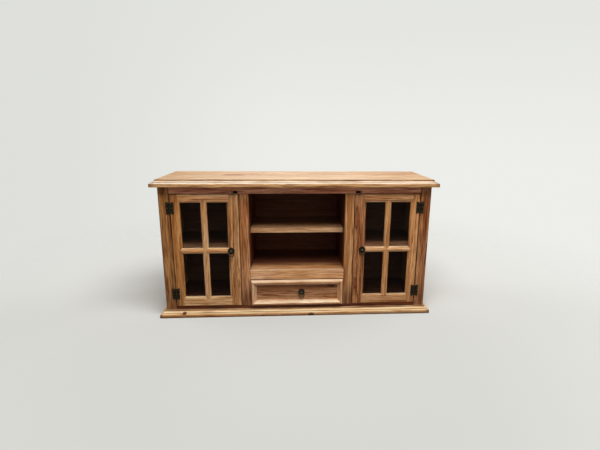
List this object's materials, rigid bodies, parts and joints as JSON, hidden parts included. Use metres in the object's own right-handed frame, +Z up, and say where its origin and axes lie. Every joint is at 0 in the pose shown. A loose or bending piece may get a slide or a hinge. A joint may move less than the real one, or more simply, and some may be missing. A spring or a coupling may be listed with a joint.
{
  "type": "television stand",
  "caption": "Low rustic wooden television stand: glazed doors either side of an open shelved bay over a drawer, with drop-ring pulls and a moulded top and plinth.",
  "frame": {"origin": "on the floor, at the middle of the footprint", "axes": "+X along the width, to the right of someone facing the front; +Y from the front to the back; +Z up"},
  "size_m": [1.4, 0.38, 0.709],
  "materials": {
    "top_wood": "satin varnish over planed reclaimed boards",
    "frame_wood": "satin varnish",
    "red_wood": "satin varnish, darker reddish board",
    "bay_wood": "satin varnish",
    "plinth_wood": "satin varnish",
    "side_wood": "satin varnish",
    "inner_wood": "dark stain, low sheen",
    "rough_wood": "bare sawn wood",
    "panel_wood": "satin varnish",
    "door_wood": "satin varnish",
    "glass": "clear drawn glass",
    "iron": "blackened, waxed",
    "steel": "browned spring steel"
  },
  "bodies": {
    "carcass": {"top_panel": "top_wood", "top_moulding_front": "top_wood", "top_moulding_left": "top_wood", "top_moulding_right": "top_wood", "left_side": "side_wood", "right_side": "side_wood", "left_partition": "inner_wood", "right_partition": "inner_wood", "bottom_board": "inner_wood", "back_boards": "inner_wood", "left_outer_stile": "frame_wood", "right_outer_stile": "frame_wood", "left_middle_stile": "frame_wood", "right_middle_stile": "frame_wood", "top_rail": "red_wood", "bottom_rail": "red_wood", "bay_rail": "bay_wood", "plinth_front": "plinth_wood", "plinth_left": "plinth_wood", "plinth_right": "plinth_wood", "base_bearers": "rough_wood", "bay_deck": "bay_wood", "bay_shelf": "bay_wood", "left_shelf": "inner_wood", "right_shelf": "inner_wood", "battens": "rough_wood", "door_stops": "rough_wood", "door_catches": "steel", "drawer_runners": "rough_wood", "drawer_kickers": "rough_wood", "hinge_frame_leaves": "iron"},
    "left_door": {"left_hinge_stile": "door_wood", "left_free_stile": "door_wood", "left_door_top_rail": "door_wood", "left_door_bottom_rail": "door_wood", "left_upright_bar": "door_wood", "left_cross_bars": "door_wood", "left_glass": "glass", "left_beads": "door_wood", "left_door_leaves": "iron", "left_rosette": "iron"},
    "right_door": {"right_hinge_stile": "door_wood", "right_free_stile": "door_wood", "right_door_top_rail": "door_wood", "right_door_bottom_rail": "door_wood", "right_upright_bar": "door_wood", "right_cross_bars": "door_wood", "right_glass": "glass", "right_beads": "door_wood", "right_door_leaves": "iron", "right_rosette": "iron"},
    "drawer": {"drawer_front": "panel_wood", "drawer_moulding": "bay_wood", "drawer_sides": "rough_wood", "drawer_back": "rough_wood", "drawer_bottom": "rough_wood", "drawer_rosette": "iron"},
    "left_ring": {"left_ring": "iron"},
    "right_ring": {"right_ring": "iron"},
    "drawer_ring": {"drawer_ring": "iron"}
  },
  "joints": [
    {"name": "left_door_hinge", "type": "hinge", "parent": "carcass", "child": "left_door", "pos_m": [-0.61775, -0.1653, 0.344], "axis": [0, 0, -1], "range_deg": [0, 175]},
    {"name": "right_door_hinge", "type": "hinge", "parent": "carcass", "child": "right_door", "pos_m": [0.61775, -0.1653, 0.344], "axis": [0, 0, 1], "range_deg": [0, 175]},
    {"name": "drawer_slide", "type": "slide", "parent": "carcass", "child": "drawer", "axis": [0, -1, 0], "range_m": [0, 0.2337]},
    {"name": "left_ring_swing", "type": "hinge", "parent": "left_door", "child": "left_ring", "pos_m": [-0.3315, -0.168, 0.348], "axis": [-1, 0, 0], "range_deg": [-9, 110]},
    {"name": "right_ring_swing", "type": "hinge", "parent": "right_door", "child": "right_ring", "pos_m": [0.3315, -0.168, 0.348], "axis": [-1, 0, 0], "range_deg": [-9, 110]},
    {"name": "drawer_ring_swing", "type": "hinge", "parent": "drawer", "child": "drawer_ring", "pos_m": [0.022, -0.168, 0.121], "axis": [-1, 0, 0], "range_deg": [-9, 110]}
  ]
}
